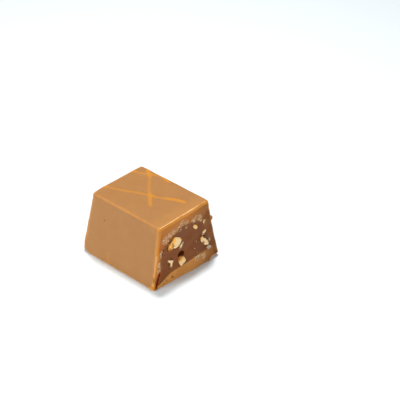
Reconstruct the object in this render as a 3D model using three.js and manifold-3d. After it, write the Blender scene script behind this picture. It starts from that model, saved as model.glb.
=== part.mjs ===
// Half of a filled praline bar, cut across so that its inside shows: a moulded shell of
// caramel chocolate drizzled with orange lines, a dome of milk praline that runs through it,
// the chocolate layer that closes its underside, and the chopped hazelnuts that the knife
// laid bare.
// Millimetres. X runs from the moulded end to the cut face, Y across the bar, Z up.
// The origin is the middle of the underside.
import * as THREE from "three";
import { ConvexGeometry } from "three/addons/geometries/ConvexGeometry.js";
import { mergeVertices } from "three/addons/utils/BufferGeometryUtils.js";
import Module from "manifold-3d";

const wasm = await Module();
wasm.setup();

// Driving dimensions of the bar
const height = 15.2;
const topWidth = 15.5;
const baseWidth = 20;
const endTopX = -10.45; // the moulded end leans out by its draft on the way down
const endBaseX = -12.25;
const cutX = 10.35; // the cut's lower front corner, from which its other corners stray outwards
const cutStray = { lowerBack: 1.35, upperFront: 0.25, upperBack: -0.15 };
const cutBow = 0.25; // how far the cut sinks in half way up its back edge
const footSwell = 0.45; // the closing layer breaks a little proud of the knife's line
const footSwellHeight = 2.4;
const topEdgeRadius = 0.6;
const baseEdgeRadius = 0.35;
const endEdgeRadius = 0.7; // between the moulded end and the top
const endCornerRadius = { base: 0.8, top: 1.6 };
const cutEdgeRadius = 0.25;
const cutBackEdgeRadius = 0.7; // the edge where the knife came out is blunter

// Driving dimensions of what is inside
const pieceGap = 0.1; // between neighbouring pieces
const endWall = 2; // chocolate between the moulded end and the filling
const closingEndWall = 1;
const crackDepth = 1.4;

// The orange drizzle, a low ridge: what shows of a round strand that is mostly sunk in
const drizzleWidth = 0.8;
const drizzleRelief = 0.12;
const drizzleRadius = (drizzleWidth ** 2 / 4 + drizzleRelief ** 2) / (2 * drizzleRelief);
const drizzleFade = 0.25; // how much deeper a strand lies where it runs out

// How finely the surfaces are divided
const cornerSteps = 3;
const sideSteps = 8;
const lengthSteps = 7;
const cutRings = 8;
const drizzleSides = 16;
const strandStep = 0.7;

// The dome of the filling in the cut, from its lower back corner over the top to its tip
// at the lower front corner: across, up
const domeLine = [
  [7.8, 3.4], [7.3, 4.4], [6.9, 6.2], [6.4, 8.2], [5.6, 10.1], [4.4, 11.3], [2.6, 11.9],
  [0.9, 12.1], [-0.6, 12.3], [-2.2, 11.8], [-4.2, 11], [-6, 9.9], [-7.1, 8.2],
  [-7.6, 5.7], [-7.6, 3.6], [-8.1, 1.8], [-8.7, 0.7],
];

// Where the filling meets the closing layer, from front to back
const closingLine = [
  [-8.8, 0.45], [-7.2, 1.1], [-5.5, 1.85], [-4, 2.15], [0, 2.35], [4, 2.7], [8.1, 3.15],
];

// The crack that opens between the front wall and the filling's tip
const crackLine = [
  [-9.1, 0.2], [-8.4, 0.6], [-7.6, 2.4], [-7.5, 3.5], [-7.7, 4.1], [-8.15, 3.7], [-9, 1.1],
];

// The air bubble above the low nut
const bubble = { y: -1.4, z: 5.5, across: 1, up: 0.85, deep: 1.7 };

// Chopped hazelnuts, each of one or two lumps: the middle of a lump in the cut, its long and
// wide axes, how far the long one is turned up from the way across, how much narrower its
// far end is, how far it stands proud of the cut and how deep it goes, and its random seed
const nuts = {
  hazelnut_large: [
    { y: -2.65, z: 9.55, long: 3.1, wide: 2.7, turn: 115, taper: 0.1, proud: 0.35, deep: 1.9, seed: 11 },
    { y: -4.3, z: 9.15, long: 2.2, wide: 1.8, turn: 35, taper: 0.25, proud: 0.1, deep: 1.5, seed: 4 },
  ],
  hazelnut_low: [
    { y: -1.3, z: 3.9, long: 2.9, wide: 1.95, turn: -100, taper: 0.45, proud: 0.15, deep: 1.6, seed: 7 },
  ],
  hazelnut_left: [
    { y: -4.55, z: 4.75, long: 2.7, wide: 1.15, turn: -58, taper: 0.2, proud: 0.15, deep: 1.2, seed: 21 },
  ],
  hazelnut_back: [
    { y: 5.85, z: 5.55, long: 3.3, wide: 1.4, turn: -55, taper: 0.05, proud: 0.25, deep: 1.4, seed: 9 },
  ],
  hazelnut_back_low: [
    { y: 6.85, z: 3.5, long: 1.3, wide: 0.95, turn: -25, taper: 0.2, proud: 0.15, deep: 0.9, seed: 15 },
  ],
  hazelnut_back_high: [
    { y: 5.95, z: 7.8, long: 1.5, wide: 0.85, turn: 20, taper: 0.25, proud: 0.15, deep: 0.9, seed: 2 },
  ],
  hazelnut_middle: [
    { y: -1.5, z: 8.05, long: 1.9, wide: 0.85, turn: 38, taper: 0.2, proud: 0.1, deep: 0.9, seed: 5 },
  ],
  hazelnut_top: [
    { y: 3.15, z: 10.6, long: 1.4, wide: 1.1, turn: 130, taper: 0.2, proud: 0.15, deep: 1, seed: 17 },
  ],
  hazelnut_edge: [
    { y: 6, z: 10.45, long: 0.85, wide: 0.7, turn: 100, taper: 0.1, proud: 0.1, deep: 0.7, seed: 13 },
  ],
};

// The drizzle's three strands over the top: along, across. The first two run on down the
// moulded end, and the first and third down the back.
const strands = [
  { line: [[-9.1, 4.7], [-7, 5.7], [-4.8, 6.8], [-2.6, 7]], endY: 4.2, backX: -1.4 },
  { line: [[-9.1, -3.9], [-5.1, -2.2], [0, 0.2], [3.9, 2], [7.1, 3.2]], endY: -4.5 },
  { line: [[-7.6, 7], [-5.6, 5.7], [-4, 3.9], [-1, 0.9], [3.2, -2.6]], backX: -8.4 },
];
const strandDrop = 6; // how far down a side a strand runs

const halfWidthAt = (z) => THREE.MathUtils.lerp(baseWidth, topWidth, z / height) / 2;
const endXAt = (z) => THREE.MathUtils.lerp(endBaseX, endTopX, z / height);

// The knife's surface: nearly plane, twisted a little, with slow waves and a swollen foot.
function cutXAt(y, z) {
  const { lowerBack, upperFront, upperBack } = cutStray;
  const across = (y + baseWidth / 2) / baseWidth;
  const up = z / height;
  const twist = lowerBack * across * (1 - up) + (upperFront * (1 - across) + upperBack * across) * up;
  const bow = cutBow * across * Math.sin(Math.PI * THREE.MathUtils.clamp(up, 0, 1));
  const swell = footSwell * Math.max(0, 1 - z / footSwellHeight) ** 2;
  const waves = 0.06 * Math.sin(0.9 * y + 0.4 * z) + 0.04 * Math.sin(1.7 * z - 0.6 * y + 1);
  return cutX + twist - bow + swell + waves;
}

// Geometry to solid and back

function solidOf(geometry) {
  const bare = geometry.clone();
  bare.deleteAttribute("normal");
  bare.deleteAttribute("uv");
  const merged = mergeVertices(bare, 1e-4);
  const mesh = new wasm.Mesh({
    numProp: 3,
    vertProperties: new Float32Array(merged.attributes.position.array),
    triVerts: new Uint32Array(merged.index.array),
  });
  return new wasm.Manifold(mesh);
}

function geometryOf(solid) {
  const mesh = solid.getMesh();
  const geometry = new THREE.BufferGeometry();
  geometry.setAttribute("position", new THREE.BufferAttribute(mesh.vertProperties, 3));
  geometry.setIndex(new THREE.BufferAttribute(mesh.triVerts, 1));
  geometry.computeVertexNormals();
  return geometry;
}

// A closed surface from rows of points around one axis, each row as long as the others,
// with one point at each end.
function loft(first, rows, last) {
  const count = rows[0].length;
  const points = [first, ...rows.flat(), last];
  const index = [];
  for (let i = 0; i < count; i++) {
    const next = (i + 1) % count;
    index.push(0, 1 + next, 1 + i);
    for (let row = 0; row + 1 < rows.length; row++) {
      const here = 1 + row * count;
      const there = here + count;
      index.push(here + i, here + next, there + i, here + next, there + next, there + i);
    }
    const rim = 1 + (rows.length - 1) * count;
    index.push(rim + i, rim + next, points.length - 1);
  }
  const geometry = new THREE.BufferGeometry().setFromPoints(points);
  geometry.setIndex(index);
  return geometry;
}

// The outer body

// The bar's cross-section, a trapezium with round corners, as points from the lower front
// corner over the underside, up the back and over the top.
function sectionPoints() {
  const corners = [
    { y: -baseWidth / 2, z: 0, radius: baseEdgeRadius },
    { y: baseWidth / 2, z: 0, radius: baseEdgeRadius },
    { y: topWidth / 2, z: height, radius: topEdgeRadius },
    { y: -topWidth / 2, z: height, radius: topEdgeRadius },
  ];
  const arcs = corners.map((corner, i) => {
    const at = new THREE.Vector2(corner.y, corner.z);
    const before = corners[(i + 3) % 4];
    const after = corners[(i + 1) % 4];
    const toBefore = new THREE.Vector2(before.y, before.z).sub(at).normalize();
    const toAfter = new THREE.Vector2(after.y, after.z).sub(at).normalize();
    const halfAngle = toBefore.angleTo(toAfter) / 2;
    const reach = corner.radius / Math.tan(halfAngle);
    const start = at.clone().addScaledVector(toBefore, reach);
    const end = at.clone().addScaledVector(toAfter, reach);
    return new THREE.QuadraticBezierCurve(start, at, end).getPoints(cornerSteps);
  });
  return arcs.flatMap((arc, i) => {
    const start = arc[cornerSteps];
    const end = arcs[(i + 1) % 4][0];
    const side = [];
    for (let step = 1; step < sideSteps; step++) {
      side.push(start.clone().lerp(end, step / sideSteps));
    }
    return [...arc, ...side];
  });
}

// A round edge in steps: how far a row is drawn in, and how far it lies from the face.
function roundedRows(radius, steps) {
  return Array.from({ length: steps }, (_, i) => {
    const angle = (Math.PI / 2) * (i / steps);
    return { inset: radius * (1 - Math.sin(angle)), fromFace: radius * (1 - Math.cos(angle)) };
  });
}

// The whole uncut block of the piece, from its moulded end to the cut face.
function barGeometry() {
  const section = sectionPoints();
  const middle = new THREE.Vector2(0, height / 2);
  const drawnIn = (point, inset) => {
    const ray = point.clone().sub(middle);
    return middle.clone().addScaledVector(ray, 1 - inset / ray.length());
  };
  const endPoint = (point) => new THREE.Vector3(endXAt(point.y), point.x, point.y);
  const cutPoint = (point) => new THREE.Vector3(cutXAt(point.x, point.y), point.x, point.y);
  const innerSection = (scale) => section.map((point) => middle.clone().lerp(point, scale));

  const { lerp, smoothstep } = THREE.MathUtils;
  const sideShare = (point) => {
    const isFlat = point.y < baseEdgeRadius || point.y > height - topEdgeRadius;
    return isFlat ? smoothstep(Math.abs(point.x) / halfWidthAt(point.y), 0.7, 1) : 1;
  };
  const endRadiusAt = (point) => {
    const cornerRadius = lerp(endCornerRadius.base, endCornerRadius.top, point.y / height);
    const edgeRadius = point.y > height / 2 ? endEdgeRadius : endCornerRadius.base;
    return lerp(edgeRadius, cornerRadius, sideShare(point));
  };
  const cutRadiusAt = (point) => {
    const sideRadius = point.x > 0 ? cutBackEdgeRadius : cutEdgeRadius;
    return lerp(cutEdgeRadius, sideRadius, sideShare(point));
  };

  const rows = [innerSection(0.5).map(endPoint)];
  for (const { inset, fromFace } of roundedRows(1, 4)) {
    rows.push(section.map((point) => {
      const row = endPoint(drawnIn(point, inset * endRadiusAt(point)));
      row.x += fromFace * endRadiusAt(point);
      return row;
    }));
  }
  for (let step = 0; step <= lengthSteps; step++) {
    rows.push(section.map((point) => {
      const start = endPoint(point);
      const end = cutPoint(point);
      start.x += endRadiusAt(point);
      end.x -= cutRadiusAt(point);
      return start.lerp(end, step / lengthSteps);
    }));
  }
  for (const { inset, fromFace } of roundedRows(1, 2).reverse()) {
    rows.push(section.map((point) => {
      const row = cutPoint(drawnIn(point, inset * cutRadiusAt(point)));
      row.x -= fromFace * cutRadiusAt(point);
      return row;
    }));
  }
  for (let ring = cutRings; ring > 0; ring--) {
    rows.push(innerSection((0.97 * ring) / (cutRings + 1)).map(cutPoint));
  }
  return loft(endPoint(middle), rows, cutPoint(middle));
}

// A strand of drizzle that follows the surface, mostly sunk in it. Its ends dip deeper, so
// that the ridge runs out.
function strandGeometry({ line, endY, backX }) {
  const sunk = drizzleRadius - drizzleRelief;
  const foot = height - strandDrop;
  const shoulder = height - endEdgeRadius;
  const point = (x, y, z) => new THREE.Vector3(x, y, z);
  const path = line.map(([x, y]) => point(x, y, height - sunk));
  if (endY !== undefined) {
    const bend = (endEdgeRadius - sunk) * Math.SQRT1_2;
    path.unshift(
      point(endXAt(foot) + sunk + drizzleFade, endY - 0.4, foot - 1),
      point(endXAt(foot) + sunk, endY - 0.3, foot),
      point(endXAt(shoulder) + sunk, endY, shoulder),
      point(endXAt(shoulder) + endEdgeRadius - bend, endY + 0.1, shoulder + bend),
    );
  }
  if (backX !== undefined) {
    const edge = backX < line[0][0] ? path.unshift.bind(path) : path.push.bind(path);
    edge(point(backX, halfWidthAt(height - sunk) - sunk, height - sunk));
    edge(point(backX - 0.3, halfWidthAt(foot) - sunk, foot));
    edge(point(backX - 0.4, halfWidthAt(foot) - sunk - drizzleFade, foot - 1));
  }
  const last = path[path.length - 1];
  if (last.z > foot) {
    const onward = last.clone().sub(path[path.length - 2]).setLength(1);
    path.push(last.clone().add(onward).setZ(last.z - drizzleFade));
  }
  const curve = new THREE.CatmullRomCurve3(path, false, "centripetal");
  const round = new THREE.Shape().absarc(0, 0, drizzleRadius, 0, 2 * Math.PI);
  return new THREE.ExtrudeGeometry(round, {
    extrudePath: curve,
    steps: Math.ceil(curve.getLength() / strandStep),
    curveSegments: drizzleSides / 2,
  });
}

// A small rough lump, round about its middle.
function lumpGeometry(at, size, seed) {
  const corners = 13;
  THREE.MathUtils.seededRandom(seed);
  const points = Array.from({ length: corners }, (_, i) => {
    const rise = 1 - (2 * (i + 0.5)) / corners;
    const turn = i * 2.4; // the golden angle spreads the corners evenly
    const ring = Math.sqrt(1 - rise ** 2);
    const reach = 0.8 + 0.4 * THREE.MathUtils.seededRandom();
    const point = new THREE.Vector3(ring * Math.cos(turn), ring * Math.sin(turn), rise);
    return point.multiplyScalar(reach / 2).multiply(size).add(at);
  });
  return new ConvexGeometry(points);
}

// The shell's lower back corner broke away as the knife came through.
function brokenCornerGeometry() {
  const outside = 13;
  const back = baseWidth / 2 + 1;
  const below = -0.3;
  return new ConvexGeometry([
    new THREE.Vector3(cutX + 0.2, back, below),
    new THREE.Vector3(outside, 6.2, below),
    new THREE.Vector3(outside, back, below),
    new THREE.Vector3(outside, back, 1.3),
    new THREE.Vector3(outside, 8.4, 0.9),
  ]);
}

// The pieces inside

const flatPoint = ([y, z]) => new THREE.Vector2(y, z);

// An anticlockwise outline with its points moved outwards.
function grown(points, distance) {
  return points.map((point, i) => {
    const before = points[(i + points.length - 1) % points.length];
    const after = points[(i + 1) % points.length];
    const along = after.clone().sub(before).normalize();
    return new THREE.Vector2(point.x + along.y * distance, point.y - along.x * distance);
  });
}

// An outline in the cut's plane, carried along the bar.
function prism(points, startX, endX) {
  const geometry = new THREE.ExtrudeGeometry(new THREE.Shape(points), {
    depth: endX - startX,
    bevelEnabled: false,
  });
  const upright = new THREE.Matrix4().makeBasis(
    new THREE.Vector3(0, 1, 0),
    new THREE.Vector3(0, 0, 1),
    new THREE.Vector3(1, 0, 0),
  );
  return geometry.applyMatrix4(upright).translate(startX, 0, 0);
}

const beyondCut = cutX + 5;

function fillingGeometry(growth) {
  const dome = new THREE.SplineCurve(domeLine.map(flatPoint)).getPoints(36);
  const floor = new THREE.SplineCurve(closingLine.map(flatPoint)).getPoints(10);
  for (const point of floor) point.y += pieceGap;
  const outline = grown([...dome, ...floor.slice(1, -1)], growth);
  return prism(outline, endTopX + endWall - growth, beyondCut);
}

function closingGeometry(growth) {
  const below = -1;
  const top = new THREE.SplineCurve(closingLine.map(flatPoint)).getPoints(14);
  const outline = [new THREE.Vector2(8.35, below), new THREE.Vector2(8.35, 2.5), ...top.reverse()];
  outline.push(new THREE.Vector2(closingLine[0][0] - 0.05, below));
  return prism(grown(outline, growth), endBaseX + closingEndWall - growth, beyondCut);
}

// One lump of a nut: a broken facet in front, the widest ring just under the cut and a
// narrower one deep in the filling.
function nutGeometry(lump, growth) {
  const corners = 8;
  const rings = [
    { scale: 0.78, x: lump.proud },
    { scale: 1, x: -0.2 },
    { scale: 0.9, x: -0.5 * lump.deep },
    { scale: 0.45, x: -lump.deep },
  ];
  const at = new THREE.Vector3(cutXAt(lump.y, lump.z), lump.y, lump.z);
  const turn = THREE.MathUtils.degToRad(lump.turn);
  THREE.MathUtils.seededRandom(lump.seed);
  const reaches = Array.from({ length: corners }, () => 0.86 + 0.28 * THREE.MathUtils.seededRandom());
  const points = rings.flatMap(({ scale, x }, ring) => reaches.map((reach, i) => {
    const angle = (2 * Math.PI * (i + 0.35 * ring)) / corners;
    const along = (lump.long / 2) * reach * scale * Math.cos(angle);
    const narrowing = 1 - (lump.taper * along) / lump.long;
    const across = (lump.wide / 2) * reach * scale * narrowing * Math.sin(angle);
    const out = x + 0.12 * Math.cos(angle) * (ring === 0 ? 1 : 0);
    const point = new THREE.Vector3(
      out,
      along * Math.cos(turn) - across * Math.sin(turn),
      along * Math.sin(turn) + across * Math.cos(turn),
    );
    point.addScaledVector(point.clone().normalize(), growth);
    return point.add(at);
  }));
  return new ConvexGeometry(points);
}

function nutSolid(lumps, growth) {
  const solids = lumps.map((lump) => solidOf(nutGeometry(lump, growth)));
  return solids.reduce((whole, solid) => whole.add(solid));
}

function bubbleGeometry() {
  const round = new THREE.IcosahedronGeometry(1, 2);
  round.scale(bubble.deep, bubble.across, bubble.up);
  return round.translate(cutXAt(bubble.y, bubble.z), bubble.y, bubble.z);
}

// The materials

const caramelChocolate = { color: 0xc4915c, roughness: 0.45 };
const closingChocolate = { color: 0xb88340, roughness: 0.55 };
const praline = { color: 0x7d5034, roughness: 0.5 };
const hazelnut = { color: 0xebcd96, roughness: 0.6 };

function meshOf(name, solid, { color, roughness }) {
  const material = new THREE.MeshStandardMaterial({ color, roughness, metalness: 0 });
  const mesh = new THREE.Mesh(geometryOf(solid), material);
  mesh.name = name;
  return mesh;
}

// The assembly

const block = solidOf(barGeometry()).subtract(solidOf(brokenCornerGeometry()));
const pockets = Object.values(nuts).map((lumps) => nutSolid(lumps, pieceGap));
const withoutNuts = (solid) => pockets.reduce((rest, pocket) => rest.subtract(pocket), solid);

// A crumb stuck at the foot of the cut's front edge, and a burr that the knife left behind.
const crumb = lumpGeometry(new THREE.Vector3(10.3, -9.85, 0.42), new THREE.Vector3(1.2, 0.8, 0.8), 6);
const burr = lumpGeometry(new THREE.Vector3(10.2, 8.3, 10.1), new THREE.Vector3(0.8, 0.75, 0.9), 3);
const trim = [crumb, burr, ...strands.map(strandGeometry)];

const cavities = [
  fillingGeometry(pieceGap),
  closingGeometry(pieceGap),
  prism(crackLine.map(flatPoint), cutX - crackDepth, beyondCut),
];
const dressed = trim.reduce((whole, piece) => whole.add(solidOf(piece)), block);
const hollowed = cavities.reduce((rest, cavity) => rest.subtract(solidOf(cavity)), dressed);
const shell = withoutNuts(hollowed);

const fillingBlock = solidOf(fillingGeometry(0)).intersect(block);
const filling = withoutNuts(fillingBlock.subtract(solidOf(bubbleGeometry())));
const closing = withoutNuts(solidOf(closingGeometry(0)).intersect(block));

const pralineChocolate = new THREE.Group();
pralineChocolate.add(meshOf("shell", shell, caramelChocolate));
pralineChocolate.add(meshOf("filling", filling, praline));
pralineChocolate.add(meshOf("closing_layer", closing, closingChocolate));
for (const [name, lumps] of Object.entries(nuts)) {
  pralineChocolate.add(meshOf(name, nutSolid(lumps, 0), hazelnut));
}

export default pralineChocolate;
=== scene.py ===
import math
import random

import bpy
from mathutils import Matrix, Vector, kdtree, noise
from mathutils.bvhtree import BVHTree


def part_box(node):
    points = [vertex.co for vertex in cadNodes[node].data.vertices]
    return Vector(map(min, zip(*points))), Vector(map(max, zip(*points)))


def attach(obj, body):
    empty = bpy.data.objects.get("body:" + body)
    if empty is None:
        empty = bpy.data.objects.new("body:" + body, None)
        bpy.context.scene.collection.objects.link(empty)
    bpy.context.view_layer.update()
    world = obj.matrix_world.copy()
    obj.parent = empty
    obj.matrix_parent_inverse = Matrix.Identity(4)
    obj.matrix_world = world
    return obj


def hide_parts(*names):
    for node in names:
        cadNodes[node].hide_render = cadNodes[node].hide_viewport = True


# Half of a filled praline bar, cut across. Every piece is modelled in millimetres, in the
# frame's own axes, and shrunk to metres when it is done.

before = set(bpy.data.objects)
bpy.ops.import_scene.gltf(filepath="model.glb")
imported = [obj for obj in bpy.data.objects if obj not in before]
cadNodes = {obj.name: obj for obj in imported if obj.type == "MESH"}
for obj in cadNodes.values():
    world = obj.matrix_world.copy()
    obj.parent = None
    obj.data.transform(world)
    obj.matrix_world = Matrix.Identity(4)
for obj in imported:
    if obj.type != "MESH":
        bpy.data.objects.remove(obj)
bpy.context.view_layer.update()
mm = 0.001
closeBy = 0.01  # millimetres within which two places are the same
straight = 0.9  # a normal this far along an axis faces that way
leastWeight = 0.002  # smaller weights move nothing

bar = {
    "height": 15.2,
    "topWidth": 15.5,
    "baseWidth": 20,
    "endTop": -10.45,  # where the moulded end meets the top and the underside
    "endBase": -12.25,
    "cut": 10.35,  # the cut's lower front corner; its other corners stray outwards from it
    "lowerBack": 1.35,
    "upperFront": 0.25,
    "upperBack": 0.05,
    "cutBow": 0.2,  # how far the cut sinks in half way up its back edge
    "cutWaves": ((0.06, 0.9, 0.4, 0), (0.04, -0.6, 1.7, 1)),  # height, across, up, offset
    "cutStray": (4, 10),  # where along the bar the flat end turns into the knife's surface
    "cutFine": 9.5,  # beyond this the cut's faces are made finer
    "footSwell": 0.45,
    "footHeight": 2.4,
    "topEdge": 0.6,  # edge radii
    "baseEdge": 0.35,
    "endEdge": 0.7,
    "endCorner": 0.9,
    "endBackCorner": 0.45,
    "cutEdge": 0.22,
    "cutBackEdge": 0.5,
    "edgeSegments": 5,
    "voxel": 0.17,
}


# The surfaces that the pieces share

def endXAt(z):
    return bar["endBase"] + (bar["endTop"] - bar["endBase"]) * z / bar["height"]


def halfWidthAt(z):
    return (bar["baseWidth"] + (bar["topWidth"] - bar["baseWidth"]) * z / bar["height"]) / 2


def cutXAt(y, z):
    # The knife's surface: a twisted plane with a bow, waves and a swollen foot.
    across = (y + bar["baseWidth"] / 2) / bar["baseWidth"]
    up = z / bar["height"]
    atTop = bar["upperFront"] * (1 - across) + bar["upperBack"] * across
    twist = bar["lowerBack"] * across * (1 - up) + atTop * up
    bow = bar["cutBow"] * across * math.sin(math.pi * min(1, max(0, up)))
    swell = bar["footSwell"] * max(0, 1 - z / bar["footHeight"]) ** 2
    wide, fine = [
        height * math.sin(perY * y + perZ * z + offset)
        for height, perY, perZ, offset in bar["cutWaves"]
    ]
    return bar["cut"] + twist + swell + (wide + fine) - bow


def smoothStep(low, high, value):
    share = min(1, max(0, (value - low) / (high - low)))
    return share * share * (3 - 2 * share)


def waverAt(co, pitch):
    # How much wider or narrower a strand or a line is here.
    return 1 + 0.35 * noise.noise(co * pitch)


# Handy moves

def deselectAll():
    if bpy.context.object and bpy.context.object.mode == "EDIT":
        bpy.ops.object.mode_set(mode="OBJECT")
    bpy.ops.object.select_all(action="DESELECT")


def pick(piece, *others):
    deselectAll()
    for chosen in (*others, piece):
        chosen.select_set(True)
    bpy.context.view_layer.objects.active = piece


def added(name):
    # The primitive that was just added, with its place moved into its mesh.
    piece = bpy.context.object
    piece.name = name
    pick(piece)
    bpy.ops.object.transform_apply(location=True, rotation=True, scale=True)
    return piece


def selectIn(piece, kind, test):
    # Into edit mode with only those vertices, edges or faces selected that pass the test.
    pick(piece)
    bpy.ops.object.mode_set(mode="EDIT")
    bpy.ops.mesh.select_mode(type=kind)
    bpy.ops.mesh.select_all(action="DESELECT")
    bpy.ops.object.mode_set(mode="OBJECT")
    mesh = piece.data
    for part in {"VERT": mesh.vertices, "EDGE": mesh.edges, "FACE": mesh.polygons}[kind]:
        part.select = test(part)
    bpy.ops.object.mode_set(mode="EDIT")


def modify(piece, kind, **settings):
    pick(piece)
    modifier = piece.modifiers.new(kind, kind)
    for key, value in settings.items():
        setattr(modifier, key, value)
    bpy.ops.object.modifier_apply(modifier=modifier.name)


def cutWith(piece, cutter, operation="DIFFERENCE"):
    modify(piece, "BOOLEAN", operation=operation, object=cutter, solver="MANIFOLD")


def copyOf(piece, name):
    twin = piece.copy()
    twin.data = piece.data.copy()
    twin.name = name
    bpy.context.collection.objects.link(twin)
    return twin


def discard(*pieces):
    for piece in pieces:
        bpy.data.objects.remove(piece, do_unlink=True)


def clouds(name, size, depth=2):
    texture = bpy.data.textures.new(name, "CLOUDS")
    texture.noise_scale = size
    texture.noise_depth = depth
    return texture


def displace(piece, strength, texture=None, middle=0.5, weightAt=None):
    # Moves the surface along its normals, only where weightAt says so.
    if weightAt:
        group = piece.vertex_groups.new(name="here")
        for vertex in piece.data.vertices:
            weight = weightAt(vertex.co, vertex.normal)
            if weight > leastWeight:
                group.add([vertex.index], min(1, weight), "REPLACE")
    modify(piece, "DISPLACE", texture=texture, strength=strength, mid_level=middle,
           vertex_group="here" if weightAt else "")
    piece.vertex_groups.clear()


def soften(piece, repeat, test):
    # Rounds off what the test picks.
    selectIn(piece, "VERT", test)
    bpy.ops.mesh.vertices_smooth(factor=0.5, repeat=repeat)
    bpy.ops.object.mode_set(mode="OBJECT")


def paint(piece, name, maskAt):
    # A mask over the finished surface, which the materials read.
    layer = piece.data.attributes.new(name, "FLOAT", "POINT")
    layer.data.foreach_set("value", [maskAt(v.co, v.normal) for v in piece.data.vertices])


def finishPiece(piece, name, material, replaced=(), smoothAngle=50):
    piece.name = name
    piece.data.name = name
    pick(piece)
    bpy.ops.object.shade_smooth_by_angle(angle=math.radians(smoothAngle))
    piece.scale = (mm, mm, mm)
    bpy.ops.object.transform_apply(location=True, rotation=True, scale=True)
    piece.data.materials.clear()
    piece.data.materials.append(material)
    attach(piece, "root")
    if replaced:
        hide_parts(*replaced)


# The drizzle: three strands of orange that run over the top and down the end and the back

drizzle = {
    "relief": 0.04,
    "waverPitch": 1.3,
    "fade": (0.4, 1.5),  # in half widths, where a strand starts to fade and where it ends
    # Each strand's knots: the side it lies on, two places on it, half width, strength.
    # end: across, up; top: along, across; back: along, up.
    "strands": [
        [
            ("end", 3.6, 8.4, 0.25, 0.0), ("end", 3.9, 10.5, 0.3, 0.7),
            ("end", 4.1, 13.6, 0.36, 0.9), ("top", -9.9, 4.35, 0.5, 1.0),
            ("top", -9.0, 4.75, 0.4, 0.75), ("top", -8.0, 5.15, 0.36, 0.6),
            ("top", -6.9, 5.8, 0.42, 0.8), ("top", -6.1, 6.3, 0.45, 0.9),
            ("top", -5.0, 6.85, 0.4, 0.7), ("top", -4.1, 7.2, 0.4, 0.85),
            ("top", -3.1, 7.35, 0.45, 1.0), ("top", -2.1, 7.35, 0.6, 1.0),
            ("top", -1.1, 7.3, 0.8, 1.0), ("back", -0.9, 14.2, 0.5, 0.8),
            ("back", -1.2, 11.6, 0.3, 0.7), ("back", -1.4, 9.2, 0.25, 0.0),
        ],
        [
            ("end", -4.8, 7.6, 0.25, 0.0), ("end", -4.7, 10.0, 0.3, 0.7),
            ("end", -4.5, 13.6, 0.36, 0.9), ("top", -9.8, -4.05, 0.48, 0.95),
            ("top", -8.8, -3.75, 0.38, 0.55), ("top", -7.1, -3.0, 0.36, 0.5),
            ("top", -5.1, -2.2, 0.38, 0.65), ("top", -3.1, -1.1, 0.36, 0.7),
            ("top", -1.1, -0.2, 0.36, 0.6), ("top", 0.4, 0.35, 0.42, 0.8),
            ("top", 1.9, 0.9, 0.36, 0.6), ("top", 2.9, 1.4, 0.4, 0.75),
            ("top", 3.9, 2.0, 0.44, 0.95), ("top", 4.9, 2.5, 0.48, 1.0),
            ("top", 5.9, 2.95, 0.48, 1.0), ("top", 6.9, 3.25, 0.52, 1.0),
            ("top", 7.5, 3.3, 0.42, 0.85), ("top", 7.9, 3.35, 0.3, 0.0),
        ],
        [
            ("back", -9.2, 8.6, 0.25, 0.0), ("back", -8.9, 11.0, 0.3, 0.75),
            ("back", -8.6, 14.2, 0.36, 0.9), ("top", -8.2, 7.5, 0.48, 0.9),
            ("top", -7.4, 6.95, 0.5, 1.0), ("top", -6.5, 6.25, 0.5, 1.0),
            ("top", -5.7, 5.75, 0.48, 1.0), ("top", -5.1, 5.2, 0.36, 0.6),
            ("top", -4.1, 4.1, 0.34, 0.45), ("top", -3.1, 2.95, 0.34, 0.45),
            ("top", -2.1, 1.85, 0.34, 0.5), ("top", -1.0, 0.9, 0.4, 0.65),
            ("top", 0.0, 0.2, 0.45, 0.9), ("top", 0.9, -0.75, 0.4, 0.8),
            ("top", 1.9, -1.75, 0.4, 0.85), ("top", 2.9, -2.5, 0.36, 0.6),
            ("top", 3.7, -2.85, 0.3, 0.0),
        ],
    ],
}


def onSurface(side, first, second):
    if side == "end":
        return Vector((endXAt(second), first, second))
    if side == "back":
        return Vector((first, halfWidthAt(second), second))
    return Vector((first, second, bar["height"]))


def strandSamples(knots, step=0.06):
    # Points along a smooth curve through the knots, each with its half width and strength.
    rows = [(*onSurface(*knot[:3]), *knot[3:]) for knot in knots]
    rows = [rows[0], *rows, rows[-1]]
    samples = []
    for before, start, end, after in zip(rows, rows[1:], rows[2:], rows[3:]):
        count = max(2, int((Vector(end[:3]) - Vector(start[:3])).length / step))
        for i in range(count):
            t = i / count
            samples.append([
                0.5 * (2 * b + (c - a) * t + (2 * a - 5 * b + 4 * c - d) * t**2
                       + (3 * b - a - 3 * c + d) * t**3)
                for a, b, c, d in zip(before, start, end, after)
            ])
    return samples


def nearby(samples):
    tree = kdtree.KDTree(len(samples))
    for i, sample in enumerate(samples):
        tree.insert(sample[:3], i)
    tree.balance()
    return tree


strandTrees = [(nearby(samples), samples) for samples in map(strandSamples, drizzle["strands"])]


def drizzleAt(co, normal=None):
    # A strand's strength in its middle, 0 beside it. Its width wavers a little.
    waver = waverAt(co, drizzle["waverPitch"])
    left = 1.0
    for tree, samples in strandTrees:
        _, index, distance = tree.find(co)
        halfWidth, strength = samples[index][3:]
        distance /= halfWidth * waver
        covered = strength * (1 - smoothStep(*drizzle["fade"], distance))
        left *= 1 - max(0, min(1, covered))
    return 1 - left


# Painted light on the edges of the mould and of the cut: a paler glow, a highlight on the knife's
# lip and an orange band, which stand in for light caught by the rounded edges and shining through
# the thin chocolate

def cornerAt(atCut, side, up):
    z = bar["height"] * up
    y = side * halfWidthAt(z)
    return Vector((cutXAt(y, z) if atCut else endXAt(z), y, z))


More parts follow.
